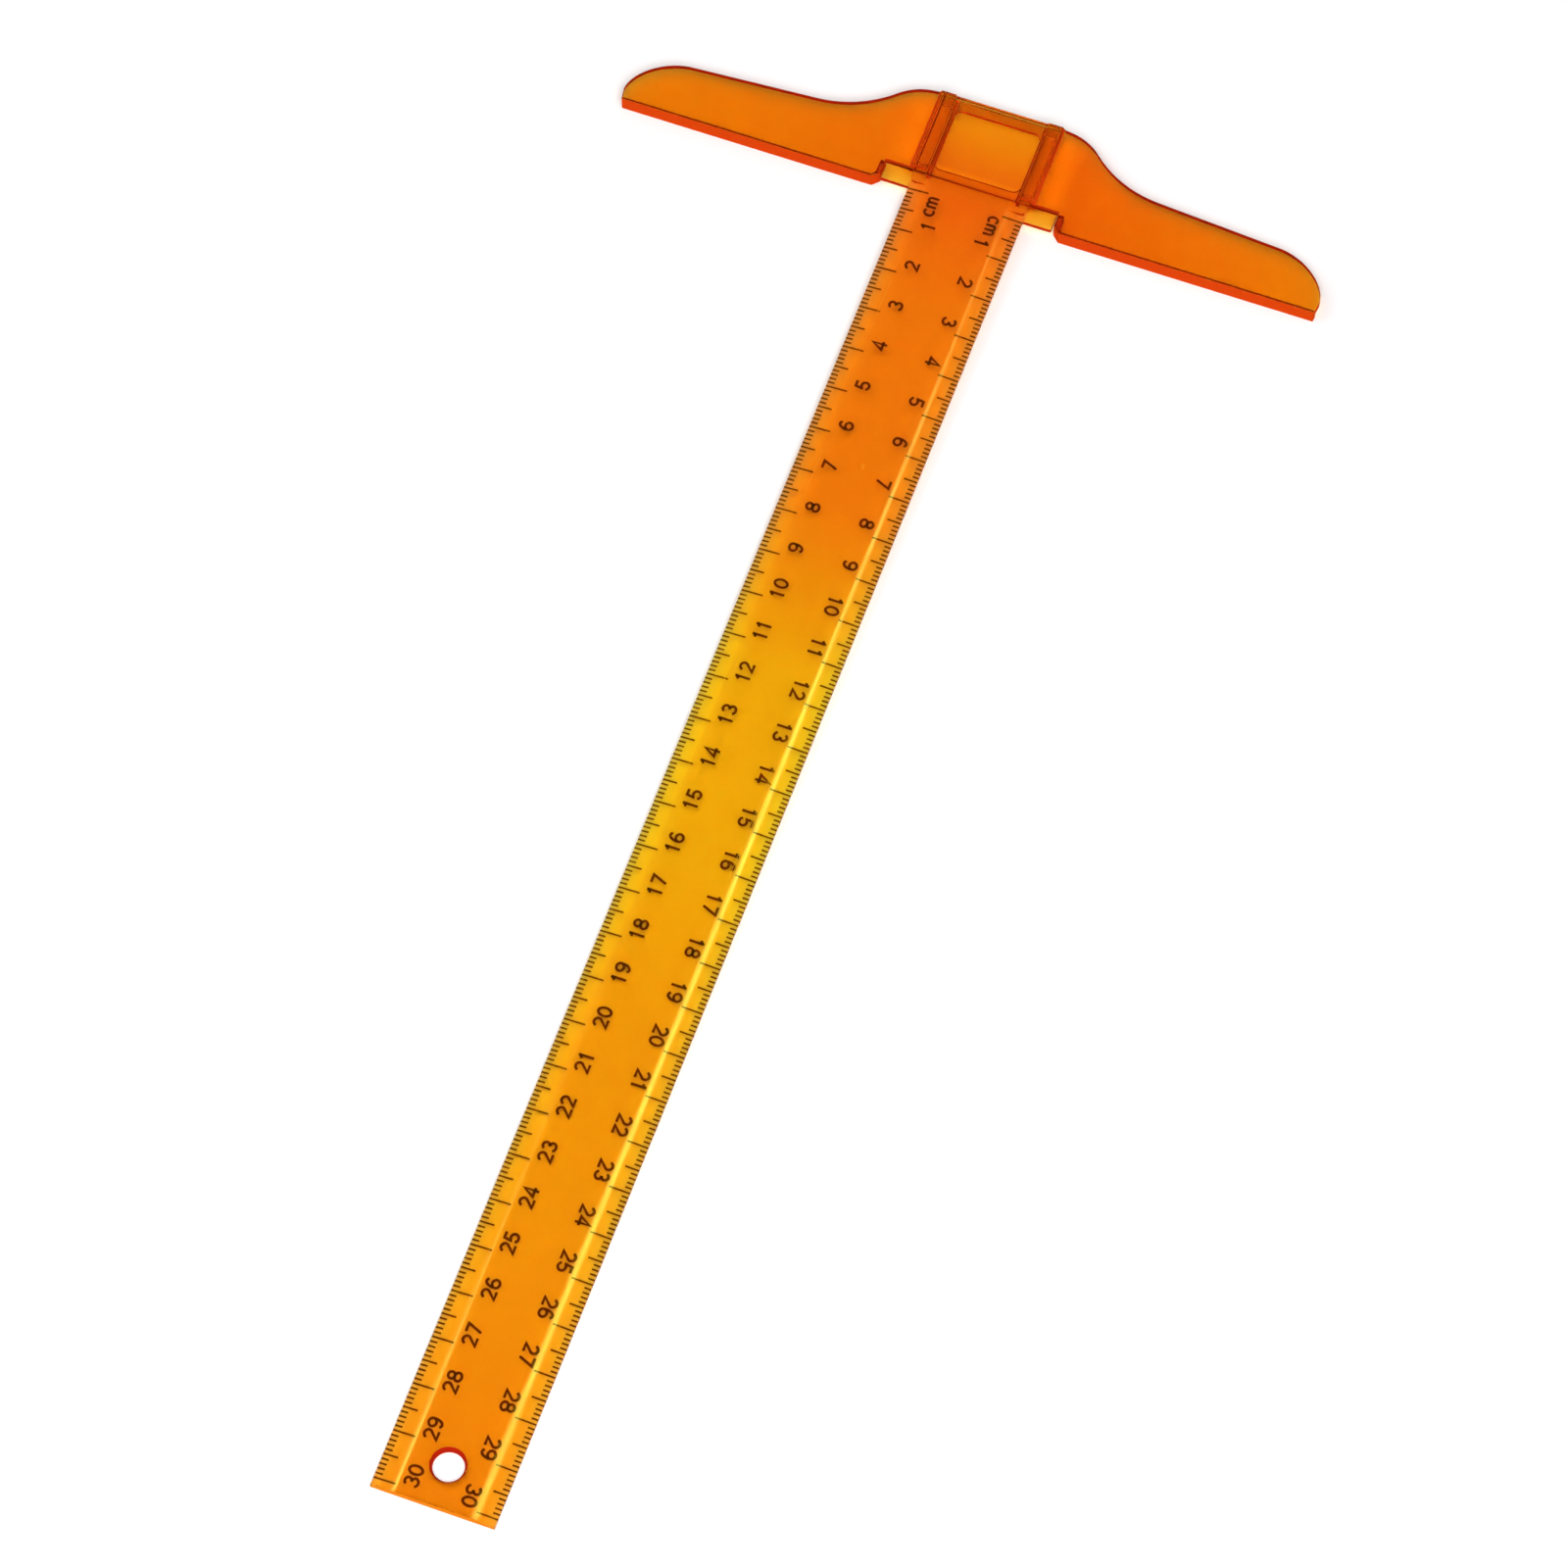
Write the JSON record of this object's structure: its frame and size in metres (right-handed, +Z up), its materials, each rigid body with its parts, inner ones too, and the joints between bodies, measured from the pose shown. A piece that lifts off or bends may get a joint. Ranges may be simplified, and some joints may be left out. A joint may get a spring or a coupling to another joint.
{
  "type": "t square",
  "caption": "Small transparent plastic drafting T-square: a bevelled 30 cm double-scale blade with a hanging hole, pushed by its tang into a winged head with a guide lip.",
  "frame": {"origin": "where the zero line of the two scales crosses the centre line of the blade, on the underside of the blade", "axes": "+Y along the blade from its foot towards the head, +X to the right with the foot towards the user and the scales readable, +Z up out of the reading side"},
  "size_m": [0.152, 0.3258, 0.0047],
  "materials": {
    "blade_plastic": "transparent amber-orange, polished moulding",
    "head_plastic": "transparent orange, polished moulding"
  },
  "bodies": {
    "blade": {"blade": "blade_plastic"},
    "head": {"head": "head_plastic"}
  },
  "joints": [
    {"name": "head_pull", "type": "slide", "parent": "blade", "child": "head", "axis": [0, 1, 0], "range_m": [0, 0.02]}
  ]
}
